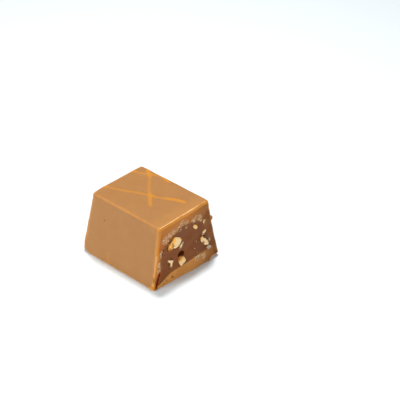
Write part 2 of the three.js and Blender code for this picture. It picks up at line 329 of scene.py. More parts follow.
paintedGlowEdges = [  # painted glow along these edges: two corners as (at the cut, side, up), half width, strength
    ((0, -1, 1), (1, -1, 1), 0.4, 0.8),
    ((0, 1, 1), (1, 1, 1), 0.5, 0.5),
    ((0, -1, 1), (0, 1, 1), 0.6, 0.7),
    ((0, -1, 0), (0, -1, 1), 1.2, 0.6),
    ((0, 1, 0), (0, 1, 1), 1.2, 0.45),
    ((1, -1, 1), (1, 1, 1), 0.4, 1.0),
    ((1, -1, 1), (1, 1, 1), 3.0, 0.3),
    ((1, -1, 0), (1, -1, 0.06), 1.1, 1.0),
    ((1, -1, 0), (1, -1, 1), 0.75, 1.0),
    ((1, 1, 0), (1, 1, 1), 0.7, 0.9),
    ((0, -1, 0), (1, -1, 0), 0.6, 0.5),
    ((0, 1, 0), (1, 1, 0), 0.6, 0.5),
    ((0, -1, 0), (0, 1, 0), 0.6, 0.5),
]
cutLipHighlights = [  # the knife's thin pale lip, with a painted highlight along it
    ((1, -1, 1), (1, 1, 1), 0.15, 0.9),
    ((1, 0.4, 1), (1, 1, 1), 0.2, 0.6),
    ((1, -1, 0.08), (1, -1, 0.55), 0.22, 0.35),
]
amberGlowBands = [  # a painted orange glow just inside the cut's edges, for light shining through the thin chocolate
    ((1, -1, 0.965), (1, 1, 0.965), 0.3, 1.0),
    ((1, -0.95, 0.05), (1, -0.94, 0.9), 0.4, 0.5),
    ((1, 1, 0.84), (1, 1, 1), 0.45, 0.8),
    ((1, -1, 0), (1, -1, 0.05), 0.8, 0.7),
]


def lineGlow(lines, sharpness=0.3, fade=1.4, waverPitch=0.9):
    # A mask with each line's own strength along it, which fades on both sides.
    lines = [
        (cornerAt(*a), cornerAt(*b), halfWidth, strength) for a, b, halfWidth, strength in lines
    ]

    def maskAt(co, normal=None):
        glow = 0
        waver = waverAt(co, waverPitch)
        for a, b, halfWidth, strength in lines:
            share = min(1, max(0, (co - a).dot(b - a) / (b - a).length_squared))
            distance = (co - a - (b - a) * share).length / (halfWidth * waver)
            glow = max(glow, strength * (1 - smoothStep(sharpness, fade, distance)))
        return glow

    return maskAt


# The filling's outline in the cut

def farOutline(nodeName):
    # The outline of a node that runs through the bar, read off its far end.
    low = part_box(nodeName)[0].x
    near = {
        (round(v.co.y / mm, 3), round(v.co.z / mm, 3))
        for v in cadNodes[nodeName].data.vertices if v.co.x < low + closeBy * mm
    }
    middle = [(min(p[i] for p in near) + max(p[i] for p in near)) / 2 for i in (0, 1)]
    return sorted(near, key=lambda p: math.atan2(p[1] - middle[1], p[0] - middle[0])), low / mm


domeOutline, domeStart = farOutline("filling")
closingOutline, closingStart = farOutline("closing_layer")


def finer(outline, step):
    points = []
    for (y0, z0), (y1, z1) in zip(outline, outline[1:] + outline[:1]):
        count = max(1, round(math.hypot(y1 - y0, z1 - z0) / step))
        points += [(y0 + (y1 - y0) * i / count, z0 + (z1 - z0) * i / count) for i in range(count)]
    return points


domeTree = nearby([(0, y, z) for y, z in finer(domeOutline, step=0.1)])


def insideDome(y, z):
    odd = False
    for (y0, z0), (y1, z1) in zip(domeOutline, domeOutline[1:] + domeOutline[:1]):
        if (z0 > z) != (z1 > z) and y < y0 + (y1 - y0) * (z - z0) / (z1 - z0):
            odd = not odd
    return odd


def pastDome(y, z):
    # Distance from the filling's outline in the cut, positive outside it.
    distance = domeTree.find((0, y, z))[2]
    return -distance if insideDome(y, z) else distance


frontMarks = {  # a faint stripe of drizzle and a dark speck on the front, as along and up
    "facing": -0.7,
    "stripe": {
        "from": (-3.6, 0), "to": (-3.9, 3.2),
        "halfWidth": 0.45, "strength": 0.45, "fade": (0.2, 1.3),
    },
    "speck": {"place": (-5.65, 10.2), "radius": 0.22, "fade": (0.4, 1.3)},
}


def stripeAt(co, normal):
    stripe = frontMarks["stripe"]
    if normal.y > frontMarks["facing"]:
        return 0
    start, end = [Vector((x, z)) for x, z in (stripe["from"], stripe["to"])]
    place = Vector((co.x, co.z))
    share = min(1, max(0, (place - start).dot(end - start) / (end - start).length_squared))
    distance = (place - start - (end - start) * share).length / stripe["halfWidth"]
    return stripe["strength"] * (1 - share) ** 0.5 * (1 - smoothStep(*stripe["fade"], distance))


def speckAt(co, normal):
    speck = frontMarks["speck"]
    x, z = speck["place"]
    distance = math.hypot(co.x - x, co.z - z) / speck["radius"]
    return 0 if normal.y > frontMarks["facing"] else 1 - smoothStep(*speck["fade"], distance)


# Masks on the cut. Pairs say where a mask starts and ends.
cutMasks = {
    "depth": 0.4, "facing": 0.25,  # what counts as its surface
    "faceFacing": (0.15, 0.6), "faceBeyond": (9.2, 9.8),
    "farSide": (1, 9),  # the shade that a neighbouring bar would throw
    "rim": (-0.7, -0.05),
    "patch": (0.45, 1.1),  # in radii
}


def onCut(co, normal=None):
    if normal is not None and normal.x <= cutMasks["facing"]:
        return False
    return co.x > cutXAt(co.y, co.z) - cutMasks["depth"]


def cutFaceAt(co, normal):
    return smoothStep(*cutMasks["faceFacing"], normal.x) * smoothStep(*cutMasks["faceBeyond"], co.x)


def farSideAt(co, normal):
    return smoothStep(*cutMasks["farSide"], co.y) if onCut(co, normal) else 0


def rimAt(co, normal):
    return smoothStep(*cutMasks["rim"], pastDome(co.y, co.z)) if onCut(co, normal) else 0


def patchAt(patches, y, z):
    # 1 in the middle of any patch of (across, up, radius), 0 outside them all.
    most = 0
    for patchY, patchZ, radius in patches:
        distance = math.hypot(y - patchY, z - patchZ) / radius
        most = max(most, 1 - smoothStep(*cutMasks["patch"], distance))
    return most


# Patches of the cut that broke into pale crumbs
crumblyPatches = [
    (-6.0, 11.4, 1.1), (-5.4, 10.6, 0.7), (-4.6, 12.0, 0.9), (-7.3, 8.6, 0.7), (-7.2, 7.9, 0.6),
    (-7.9, 5.8, 0.9), (-8.0, 4.4, 0.8), (-3.3, 12.2, 0.8), (-1.8, 12.1, 0.9), (-0.8, 12.3, 0.9),
    (0.6, 12.6, 0.9), (0.3, 11.6, 0.5), (2.6, 12.2, 0.8), (3.3, 12.9, 0.5), (4.6, 12.1, 0.9),
    (5.0, 11.2, 0.6), (-0.6, 13.3, 0.8), (3.2, 2.2, 0.8), (3.9, 2.5, 0.5), (5.2, 1.9, 0.9),
    (7.2, 5.0, 0.6),
]


def crumblyAt(co, normal=None):
    return patchAt(crumblyPatches, co.y, co.z) if onCut(co, normal) else 0


# Materials

def shaderTree(name):
    material = bpy.data.materials.new(name)
    material.use_nodes = True
    tree = material.node_tree
    return material, tree, tree.nodes["Principled BSDF"]


def put(tree, kind, **settings):
    node = tree.nodes.new("ShaderNode" + kind)
    for key, value in settings.items():
        setattr(node, key, value)
    return node


def colour(rgb):
    # An sRGB triple of 0 to 255 as linear light.
    return (*[((c / 255 + 0.055) / 1.055) ** 2.4 for c in rgb], 1)


def feed(tree, inlet, value):
    # Links a socket to the inlet, or sets the inlet to a number or a colour.
    if isinstance(value, bpy.types.NodeSocket):
        tree.links.new(value, inlet)
    else:
        inlet.default_value = value if isinstance(value, (int, float)) else colour(value)


def fed(tree, kind, values, **settings):
    # A node whose sockets, by name or number, are fed with these values.
    node = put(tree, kind, **settings)
    for key, value in values.items():
        feed(tree, node.inputs[key], value)
    return node


def grain(tree, place, scale, detail, roughness=0.55):
    values = {"Vector": place, "Scale": scale, "Detail": detail, "Roughness": roughness}
    return fed(tree, "TexNoise", values).outputs["Fac"]


def ranged(tree, value, low, high, lowest=0.0, highest=1.0):
    values = {"Value": value, "From Min": low, "From Max": high}
    values |= {"To Min": lowest, "To Max": highest}
    return fed(tree, "MapRange", values, interpolation_type="SMOOTHSTEP").outputs["Result"]


def spots(tree, place, scale, detail, roughness, *limits):
    return ranged(tree, grain(tree, place, scale, detail, roughness), *limits)


def maths(tree, operation, first, second, **settings):
    values = {0: first, 1: second}
    return fed(tree, "Math", values, operation=operation, **settings).outputs["Value"]


def times(tree, first, second):
    return maths(tree, "MULTIPLY", first, second)


def mixed(tree, share, first, second):
    return fed(tree, "Mix", {0: share, 6: first, 7: second}, data_type="RGBA").outputs[2]


def mask(tree, name):
    return put(tree, "Attribute", attribute_name=name).outputs["Fac"]


def coated(tree, base, name, rgb, share=None):
    # The colour over the base, where the mask of that name says so.
    amount = mask(tree, name) if share is None else times(tree, mask(tree, name), share)
    return mixed(tree, amount, base, rgb)


def millimetres(tree):
    # Object coordinates, counted in millimetres.
    place = put(tree, "Mapping", vector_type="POINT")
    place.inputs["Scale"].default_value = (1 / mm, 1 / mm, 1 / mm)
    tree.links.new(put(tree, "TexCoord").outputs["Object"], place.inputs["Vector"])
    return place.outputs["Vector"]


def mottleGroup():
    # Cloudy lights and darks and a fine grain, as in set chocolate and nut paste.
    group = bpy.data.node_groups.new("mottle", "ShaderNodeTree")
    face = group.interface
    face.new_socket("Place", in_out="INPUT", socket_type="NodeSocketVector")
    for name in ("Cloud Scale", "Grain Scale", "Cloud", "Grain"):
        face.new_socket(name, in_out="INPUT", socket_type="NodeSocketFloat")
    for name in ("Value", "Fine"):
        face.new_socket(name, in_out="OUTPUT", socket_type="NodeSocketFloat")
    inlet, outlet = group.nodes.new("NodeGroupInput"), group.nodes.new("NodeGroupOutput")
    total = 0.5
    for name in ("Cloud", "Grain"):
        fac = grain(group, inlet.outputs["Place"], inlet.outputs[name + " Scale"], 4.0)
        centred = maths(group, "SUBTRACT", fac, 0.5)
        swing = times(group, centred, inlet.outputs[name])
        total = maths(group, "ADD", swing, total, use_clamp=name == "Grain")
    feed(group, outlet.inputs["Value"], total)
    feed(group, outlet.inputs["Fine"], fac)
    return group


mottle = mottleGroup()


def mottled(tree, place, cloudScale, grainScale, cloud, fine):
    values = {"Place": place, "Cloud Scale": cloudScale, "Grain Scale": grainScale}
    node = fed(tree, "Group", values | {"Cloud": cloud, "Grain": fine}, node_tree=mottle)
    return node.outputs["Value"], node.outputs["Fine"]


surfaceLook = {
    "grainRange": (0.3, 0.7),  # of the fine grain, for the roughness
    "scatter": (1.0, 0.5, 0.22),  # how deep red, green and blue go
    "gloss": 0.14,
}


def finishSurface(tree, surface, base, fine, look):
    # What every food surface has: its colour, a varying roughness, a fine bump and some depth.
    feed(tree, surface.inputs["Base Color"], base)
    roughness = ranged(tree, fine, *surfaceLook["grainRange"], *look["roughness"])
    feed(tree, surface.inputs["Roughness"], roughness)
    values = {"Strength": look["bump"], "Distance": look["bumpDepth"] * mm, "Height": fine}
    feed(tree, surface.inputs["Normal"], fed(tree, "Bump", values).outputs["Normal"])
    surface.inputs["Subsurface Weight"].default_value = look["depthWeight"]
    surface.inputs["Subsurface Radius"].default_value = surfaceLook["scatter"]
    surface.inputs["Subsurface Scale"].default_value = look["depth"] * mm
    surface.inputs["Specular IOR Level"].default_value = surfaceLook["gloss"]


# Colours as sRGB, and shares of them. A mottle is: cloud scale, grain scale, cloud, grain. Spots
# are a noise's scale, detail and roughness, the range that is taken from it and what it becomes.

chocolateLook = {
    "body": (170, 119, 69), "bodyShare": 0.5, "pale": (177, 128, 77), "dark": (161, 111, 64),
    "mottle": (0.3, 3.2, 1.2, 1.3), "fleck": (2.6, 2, 0.5, 0.7, 0.76), "fleckShare": 0.3,
    "cut": (182, 103, 28), "cutDark": (169, 93, 22), "cutSpots": (0.7, 4, 0.55, 0.3, 0.7),
    "far": (116, 64, 14), "farShare": 0.95,
    # The edge colour is that of the painted glow on the edges, and also of the flecks; then come a
    # painted highlight for the knife's lip and a painted orange glow inside the cut's edges.
    "edge": (204, 142, 70), "edgeShare": 0.85, "lip": (255, 208, 150), "amber": (220, 140, 26),
    "drizzle": (205, 136, 44), "thin": (1.4, 4, 0.55, 0.25, 0.65, 0.7, 1.0),
    # The crack's colour is a painted reddish brown: the shade in the crack and the light shining
    # through the thin chocolate there.
    "speck": (120, 76, 52), "crackWall": (156, 70, 22),
    "roughness": (0.38, 0.5), "bump": 0.25, "bumpDepth": 0.03,
    "depthWeight": 0.3, "depth": 0.8,
}
closingLook = {
    "dark": (187, 121, 56), "pale": (223, 155, 80), "mottle": (0.5, 4.0, 1.2, 0.5),
    "far": (122, 70, 22), "farShare": 0.85,
    "roughness": (0.45, 0.6), "bump": 0.35, "bumpDepth": 0.04,
    "depthWeight": 0.3, "depth": 0.8,
}
pralineLook = {
    "dark": (116, 60, 18), "pale": (135, 74, 25), "mottle": (0.6, 4.5, 1.5, 0.9),
    "speck": (178, 132, 94), "speckSpots": (3.2, 3, 0.6, 0.68, 0.75), "speckShare": 0.4,
    "rim": (150, 98, 54), "rimShare": 0.3, "far": (94, 52, 24), "farShare": 0.55,
    # the crack's painted shade and glow, as on the shell
    "crackWall": (156, 70, 22),
    "roughness": (0.36, 0.52), "bump": 0.3, "bumpDepth": 0.04,
    "depthWeight": 0.12, "depth": 0.5,
}
hazelnutLook = {
    "dark": (234, 190, 129), "pale": (255, 223, 169), "mottle": (0.9, 7.0, 1.0, 0.5),
    # The toasted and skin colours are partly painted shade: on the nuts' shaded facets, in a recess
    # and on a top under the bubble.
    "toast": (253, 181, 82), "skin": (172, 106, 44),
    "smear": (160, 114, 80), "grey": (190, 164, 142),
    "roughness": (0.45, 0.62), "bump": 0.4, "bumpDepth": 0.05,
    "depthWeight": 0.25, "depth": 0.5,
}
crumbLook = {
    **closingLook,
    "dark": (190, 148, 102), "pale": (238, 210, 174), "mottle": (1.1, 6.0, 3.5, 0.5),
}
frostLook = {
    "bloom": (186, 148, 104), "speck": (232, 204, 164),
    "turn": 45, "stretch": (1, 0.55, 1.3), "spots": (3.2, 4, 0.65, 0.5, 0.62), "bloomShare": 0.45,
}
nutPatches = ("toast", "skin", "smear", "grey")


def frostGroup():
    # Where the cut crumbles: a dull bloom with pale torn specks in it, drawn out by the knife.
    group = bpy.data.node_groups.new("frost", "ShaderNodeTree")
    face = group.interface
    face.new_socket("Place", in_out="INPUT", socket_type="NodeSocketVector")
    face.new_socket("Mask", in_out="INPUT", socket_type="NodeSocketFloat")
    for name in ("Base", "Bloom", "Speck"):
        face.new_socket(name, in_out="INPUT", socket_type="NodeSocketColor")
    face.new_socket("Colour", in_out="OUTPUT", socket_type="NodeSocketColor")
    inlet, outlet = group.nodes.new("NodeGroupInput"), group.nodes.new("NodeGroupOutput")
    drawn = put(group, "Mapping", vector_type="POINT")
    drawn.inputs["Rotation"].default_value = (math.radians(frostLook["turn"]), 0, 0)
    drawn.inputs["Scale"].default_value = frostLook["stretch"]
    feed(group, drawn.inputs["Vector"], inlet.outputs["Place"])
    speck = spots(group, drawn.outputs["Vector"], *frostLook["spots"])
    bloomAmount = times(group, inlet.outputs["Mask"], frostLook["bloomShare"])
    bloom = mixed(group, bloomAmount, inlet.outputs["Base"], inlet.outputs["Bloom"])
    speckAmount = times(group, inlet.outputs["Mask"], speck)
    frosty = mixed(group, speckAmount, bloom, inlet.outputs["Speck"])
    feed(group, outlet.inputs["Colour"], frosty)
    return group


frost = frostGroup()


def frosted(tree, place, base):
    values = {"Place": place, "Mask": mask(tree, "crumbly"), "Base": base}
    values |= {"Bloom": frostLook["bloom"], "Speck": frostLook["speck"]}
    return fed(tree, "Group", values, node_tree=frost).outputs["Colour"]


def foodMaterial(name, look, layered):
    # Mottled dark and pale, with the material's own layers on it.
    material, tree, surface = shaderTree(name)
    place = millimetres(tree)
    value, fine = mottled(tree, place, *look["mottle"])
    base = layered(tree, place, mixed(tree, value, look["dark"], look["pale"]), look)
    finishSurface(tree, surface, base, fine, look)
    return material


def chocolateLayers(tree, place, base, look):
    skin = mixed(tree, look["bodyShare"], base, look["body"])
    fleck = spots(tree, place, *look["fleck"])
    skin = mixed(tree, times(tree, fleck, look["fleckShare"]), skin, look["edge"])
    inner = mixed(tree, spots(tree, place, *look["cutSpots"]), look["cutDark"], look["cut"])
    inner = coated(tree, inner, "farSide", look["far"], look["farShare"])
    base = mixed(tree, mask(tree, "cutFace"), skin, inner)
    base = frosted(tree, place, base)
    # painted light: a glow on the edges, a highlight on the knife's lip and an orange glow inside
    # the cut's edges
    base = coated(tree, base, "paintedEdgeGlow", look["edge"], look["edgeShare"])
    for name in ("amber", "lip"):
        base = coated(tree, base, name, look[name])
    thin = spots(tree, place, *look["thin"])
    base = coated(tree, base, "drizzle", look["drizzle"], thin)
    base = coated(tree, base, "stripe", look["drizzle"])
    # a dark speck, and the crack's painted shade and glow
    for name in ("speck", "crackWall"):
        base = coated(tree, base, name, look[name])
    return base


def closingLayers(tree, place, base, look):
    base = coated(tree, base, "farSide", look["far"], look["farShare"])
    return frosted(tree, place, base)


def pralineLayers(tree, place, base, look):
    speck = spots(tree, place, *look["speckSpots"])
    base = mixed(tree, times(tree, speck, look["speckShare"]), base, look["speck"])
    base = coated(tree, base, "rim", look["rim"], look["rimShare"])
    base = coated(tree, base, "farSide", look["far"], look["farShare"])
    # the crack's painted shade and glow
    return coated(tree, base, "crackWall", look["crackWall"])


def nutLayers(tree, place, base, look):
    # the toasted and skin patches are partly painted shade
    for patch in nutPatches:
        base = coated(tree, base, patch, look[patch])
    return base


chocolate = foodMaterial("caramel chocolate", chocolateLook, chocolateLayers)
closingChocolate = foodMaterial("closing chocolate", closingLook, closingLayers)
praline = foodMaterial("nut praline", pralineLook, pralineLayers)
hazelnut = foodMaterial("chopped hazelnut", hazelnutLook, nutLayers)
print("materials ready")


# The block: the whole outer form, before it is parted into shell, filling and closing layer

def makeBlock():
    length = bar["cut"] - bar["endBase"]
    middleX = (bar["cut"] + bar["endBase"]) / 2
    halfWay = bar["height"] / 2
    deselectAll()
    bpy.ops.mesh.primitive_cube_add(size=1, location=(middleX, 0, halfWay),
                                    scale=(length, bar["baseWidth"], bar["height"]))
    block = added("block")
    selectIn(block, "FACE", lambda face: face.normal.z > straight)
    bpy.ops.transform.resize(value=(1, bar["topWidth"] / bar["baseWidth"], 1),
                             center_override=(middleX, 0, bar["height"]))
    selectIn(block, "VERT", lambda vertex: vertex.co.x < 0 and vertex.co.z > halfWay)
    bpy.ops.transform.translate(value=(bar["endTop"] - bar["endBase"], 0, 0))
    bpy.ops.object.mode_set(mode="OBJECT")

    weights = block.data.attributes.new("bevel_weight_edge", "FLOAT", "EDGE")
    for edge, weight in zip(block.data.edges, weights.data):
        a, b = [block.data.vertices[i].co for i in edge.vertices]
        if min(a.x, b.x) > 0:
            radius = bar["cutBackEdge"] if min(a.y, b.y) > 0 else bar["cutEdge"]
        elif max(a.z, b.z) < halfWay:
            radius = bar["baseEdge"]
        elif max(a.x, b.x) > 0:
            radius = bar["topEdge"]
        elif min(a.z, b.z) > halfWay:
            radius = bar["endEdge"]
        else:
            radius = bar["endCorner"] if a.y < 0 else bar["endBackCorner"]
        weight.value = radius / bar["endCorner"]
    modify(block, "BEVEL", width=bar["endCorner"], segments=bar["edgeSegments"],
           limit_method="WEIGHT")
    return block


def makeLump(name, place, size, seed, breaks=7, detail=4, bite=(0.34, 0.46)):
    # A small rough lump: a ball broken off by a few random planes.
    deselectAll()
    bpy.ops.mesh.primitive_ico_sphere_add(subdivisions=detail, radius=0.5)
    lump = added(name)
    draw = random.Random(seed)
    for _ in range(breaks):
        away = Vector((draw.gauss(0, 1), draw.gauss(0, 1), draw.gauss(0, 1))).normalized()
        selectIn(lump, "VERT", lambda vertex: True)
        bpy.ops.mesh.bisect(plane_co=away * draw.uniform(*bite), plane_no=away,
                            use_fill=True, clear_outer=True)
        bpy.ops.object.mode_set(mode="OBJECT")
    lump.location = place
    lump.scale = size
    return added(name)


lumps = {  # place, size, seed
    "crumb": ((9.75, -9.9, 0.5), (1.7, 0.9, 1.0), 6),
    "burr": ((10.1, 8.4, 10.1), (0.9, 0.8, 1.4), 3),
}
brokenCorner = ((12.0, 9.6, -0.2), (3.2, 6.4, 2.6), 8)
softening = {
    # The end's front edge gets rounder on its way up: it is softened above each of these feet.
    "edge": {"feet": (4, 8, 11), "along": 2, "across": 2, "underTop": 0.9, "repeat": 25},
    "corners": [  # at the cut, side, up, radius, repeat
        (0, -1, 0, 2.2, 50), (0, 1, 0, 2.2, 50), (0, -1, 1, 1.9, 25), (0, 1, 1, 1.0, 3),
        (1, 1, 1, 1.2, 14), (1, 1, 0, 1.5, 25),
    ],
}
relief = {  # strength, size of the clouds, their depth, middle level
    "mouldWaves": (0.12, 5, 2, 0.85),
    "knifeGrain": (0.08, 0.9, 3, 0.5),
    "crumble": (0.22, 0.35, 3, 0.5),
    "chipGrain": (0.25, 0.8, 2, 0.5),
    "nutGrain": (0.16, 0.5, 3, 0.5),
}


def roughen(piece, kind, weightAt=None):
    strength, size, depth, middle = relief[kind]
    displace(piece, strength, clouds(kind, size, depth), middle, weightAt)


def onFrontEndEdge(co, foot):
    edge = softening["edge"]
    return (co.x < endXAt(co.z) + edge["along"] and co.y < edge["across"] - halfWidthAt(co.z)
            and foot < co.z < bar["height"] - edge["underTop"])


block = makeBlock()
pick(block, *[makeLump(name, *lump) for name, lump in lumps.items()])
bpy.ops.object.join()
modify(block, "REMESH", mode="VOXEL", voxel_size=bar["voxel"])
for foot in softening["edge"]["feet"]:
    soften(block, softening["edge"]["repeat"], lambda vertex: onFrontEndEdge(vertex.co, foot))
for atCut, side, up, radius, repeat in softening["corners"]:
    z = bar["height"] * up
    corner = Vector((bar["cut"] if atCut else endXAt(z), side * halfWidthAt(z), z))
    soften(block, repeat, lambda vertex: (vertex.co - corner).length < radius)
selectIn(block, "FACE", lambda face: face.normal.x > 0.5 and face.center.x > bar["cutFine"])
bpy.ops.mesh.subdivide(number_cuts=1)
bpy.ops.object.mode_set(mode="OBJECT")
print("block:", len(block.data.vertices), "vertices")

for vertex in block.data.vertices:  # the flat end becomes the knife's surface
    stray = cutXAt(vertex.co.y, vertex.co.z) - bar["cut"]
    vertex.co.x += stray * smoothStep(*bar["cutStray"], vertex.co.x)

roughen(block, "mouldWaves",
        lambda co, normal: 0 if onCut(co, normal) or normal.z < -straight else 1)
displace(block, drizzle["relief"], middle=0, weightAt=drizzleAt)
roughen(block, "knifeGrain", lambda co, normal: 1 if onCut(co, normal) else 0)
roughen(block, "crumble", crumblyAt)
chip = makeLump("chip", *brokenCorner)
roughen(chip, "chipGrain")
cutWith(block, chip)
discard(chip)
print("block surfaced")


# Cutters that part the block, each an outline in the cut's plane carried along the bar

cuts = {
    "beyond": 14,  # x of the cutters' open ends
    "below": -1.0,  # z of the closing layer's cutter, under the piece
    "halfGap": 0.05,
    "raggedPitch": 1.7,
    "dome": {"step": 0.3, "raggedness": 0.18},
    "closing": {"step": 0.4},
    "crack": {
        "outline": [
            (-9.2, 0.4), (-8.75, 0.7), (-8.15, 1.9), (-7.75, 3.0), (-7.6, 3.8), (-7.85, 3.8),
            (-8.2, 3.0), (-8.75, 1.8),
        ],
        "step": 0.2, "raggedness": 0.3, "deep": 0.9,
        "walls": (0.12, 0.5), "behind": 0.3,  # the painted crack colour's fade, and how far in it goes
    },
}


def makePrism(name, outline, startX, endX, growth=0.0, raggedness=0.0):
    count = len(outline)
    deselectAll()
    bpy.ops.mesh.primitive_circle_add(vertices=count, fill_type="NGON")
    prism = added(name)
    for i, (y, z) in enumerate(outline):
        y0, z0 = outline[i - 1]
        y1, z1 = outline[(i + 1) % count]
        run = math.hypot(y1 - y0, z1 - z0)
        ragged = noise.noise(Vector((0, y, z)) * cuts["raggedPitch"])
        out = growth + raggedness * ragged
        prism.data.vertices[i].co = (startX, y + (z1 - z0) / run * out, z - (y1 - y0) / run * out)
    selectIn(prism, "FACE", lambda face: True)
    bpy.ops.mesh.extrude_region_move(TRANSFORM_OT_translate={"value": (endX - startX, 0, 0)})
    bpy.ops.mesh.select_all(action="SELECT")
    bpy.ops.mesh.normals_make_consistent(inside=False)
    bpy.ops.object.mode_set(mode="OBJECT")
    return prism


def crackShadeAndGlowAt(co, normal):
    # A reddish brown painted on the crack's walls and on the cut close around it. It stands in for
    # the shade in the crack and for the light that shines through the thin chocolate there.
    if co.x < bar["cut"] - cuts["crack"]["deep"] - cuts["crack"]["behind"]:
        return 0
    place = Vector((co.y, co.z))
    nearest = min((place - Vector(point)).length for point in crackLine)
    return 1 - smoothStep(*cuts["crack"]["walls"], nearest)


domeCutter = makePrism("domeCutter", finer(domeOutline, cuts["dome"]["step"]), domeStart,
                       cuts["beyond"], cuts["halfGap"], cuts["dome"]["raggedness"])
closingLine = [
    (y, z if z > closeBy else cuts["below"])
    for y, z in finer(closingOutline, cuts["closing"]["step"])
]
closingCutter = makePrism("closingCutter", closingLine, closingStart, cuts["beyond"],
                          cuts["halfGap"])
crackLine = finer(cuts["crack"]["outline"], cuts["crack"]["step"])
crackCutter = makePrism("crackCutter", crackLine, bar["cut"] - cuts["crack"]["deep"],
                        cuts["beyond"], 0, cuts["crack"]["raggedness"])

shell = copyOf(block, "shell")
filling = copyOf(block, "filling")
closing = copyOf(block, "closing")
cutWith(shell, domeCutter)
cutWith(shell, closingCutter)
cutWith(filling, domeCutter, "INTERSECT")
cutWith(filling, closingCutter)
cutWith(filling, crackCutter)
cutWith(shell, crackCutter)
cutWith(closing, closingCutter, "INTERSECT")
print("parted:", [len(p.data.polygons) for p in (shell, filling, closing)])


# Hazelnuts: the outline of each in the cut, how far it stands proud, how deep it goes, and
# patches of toasted flesh, skin, smeared filling and grey on it as (across, up, radius). The
# toasted and skin patches are partly painted shade: on facets that face away from the light,
# in a recess and on the low nut's top under the bubble.

nuts = {
    "hazelnut_large": {
        "outline": [
            (-3.95, 10.4), (-3.75, 10.9), (-3.3, 11.05), (-2.85, 10.85), (-2.4, 10.55),
            (-1.8, 10.2), (-1.35, 9.8), (-1.2, 9.3), (-1.4, 8.8), (-2.0, 8.3), (-2.7, 7.95),
            (-3.3, 7.95), (-3.75, 8.3), (-4.1, 8.1), (-4.7, 7.95), (-5.2, 8.1), (-5.35, 8.7),
            (-5.2, 9.3), (-4.9, 9.8), (-4.4, 10.1),
        ],
        "proud": 0.22, "deep": 1.9,
        # partly painted shade: on the facets that face away from the light, and in a recess
        "toast": [(-3.8, 10.3, 1.15), (-4.7, 9.2, 1.3), (-1.5, 9.9, 0.5)],
        "skin": [(-4.9, 8.2, 0.8), (-3.9, 8.7, 0.5), (-1.25, 9.7, 0.4), (-4.0, 9.4, 0.35)],
    },
    "hazelnut_low": {
        "outline": [
            (-2.35, 5.0), (-1.9, 5.2), (-1.3, 5.05), (-0.8, 4.65), (-0.45, 4.1), (-0.22, 3.6),
            (-0.3, 3.2), (-0.8, 2.9), (-1.3, 2.5), (-1.6, 2.4), (-1.82, 2.7), (-2.05, 3.3),
            (-2.3, 4.1), (-2.45, 4.7),
        ],
        "proud": 0.12, "deep": 1.6,
        # partly painted shade: on the nut's top, under the bubble
        "toast": [(-1.7, 4.4, 0.9)],
        "skin": [(-2.2, 4.8, 0.9), (-1.4, 5.1, 0.8)],
    },
    "hazelnut_left": {
        "outline": [
            (-5.45, 5.85), (-5.1, 5.8), (-4.6, 5.45), (-4.1, 5.25), (-3.75, 4.95), (-3.8, 4.65),
            (-3.98, 4.3), (-4.12, 3.8), (-4.3, 3.3), (-4.6, 3.35), (-4.78, 3.75), (-4.6, 4.2),
            (-4.6, 4.65), (-4.95, 4.95), (-5.25, 5.3),
        ],
        "proud": 0.12, "deep": 1.2,
        "smear": [(-4.5, 3.5, 0.45)],
    },
    "hazelnut_back": {
        "outline": [
            (4.55, 6.8), (4.85, 7.1), (5.3, 6.95), (5.75, 6.5), (6.15, 5.9), (6.55, 5.4),
            (6.85, 4.9), (6.95, 4.45), (6.7, 4.1), (6.3, 4.2), (5.75, 4.45), (5.25, 5.05),
            (4.75, 5.7), (4.55, 6.3),
        ],
        "proud": 0.15, "deep": 1.4,
        "toast": [(4.65, 6.7, 0.5)],
        "skin": [(4.6, 7.1, 0.45)],
        "smear": [(5.2, 5.3, 0.55), (6.95, 4.9, 0.5), (5.6, 6.7, 0.5)],
    },
    "hazelnut_back_low": {
        "outline": [
            (6.15, 3.5), (6.5, 3.85), (7.0, 3.9), (7.45, 3.65), (7.55, 3.25), (7.0, 2.9),
            (6.5, 3.0),
        ],
        "proud": 0.15, "deep": 0.9,
        "grey": [(6.8, 3.3, 1.0), (7.4, 3.7, 0.5)],
    },
    "hazelnut_back_high": {
        "outline": [
            (5.0, 7.4), (5.35, 7.95), (5.85, 8.3), (6.3, 8.2), (6.4, 7.85), (6.1, 7.55),
            (5.65, 7.35), (5.3, 7.15),
        ],
        "proud": 0.12, "deep": 0.9,
        "smear": [(5.3, 7.5, 0.4)],
    },
    "hazelnut_middle": {
        "outline": [
            (-2.4, 7.4), (-1.95, 7.85), (-1.5, 8.3), (-0.9, 8.65), (-0.65, 8.4), (-1.0, 7.95),
            (-1.45, 7.5), (-2.05, 7.15),
        ],
        "proud": 0.24, "deep": 0.9,
        "smear": [(-2.1, 7.5, 0.4)],
        "grey": [(-1.0, 8.3, 0.5)],
    },
    "hazelnut_top": {
        "outline": [
            (2.5, 10.65), (2.7, 11.15), (3.1, 11.1), (3.6, 10.6), (3.85, 10.1), (3.55, 9.75),
            (3.2, 9.75), (2.85, 10.05),
        ],
        "proud": 0.12, "deep": 1,
        "toast": [(3.4, 11.0, 0.75), (3.85, 10.4, 0.5)],
        "skin": [(2.9, 11.15, 0.4)],
    },
    "hazelnut_edge": {
        "outline": [
            (5.55, 10.3), (5.8, 10.75), (6.2, 10.9), (6.5, 10.55), (6.45, 10.15), (6.1, 9.95),
            (5.75, 10.0),
        ],
        "proud": 0.1, "deep": 0.7,
        "smear": [(6.3, 10.1, 0.4)],
    },
}

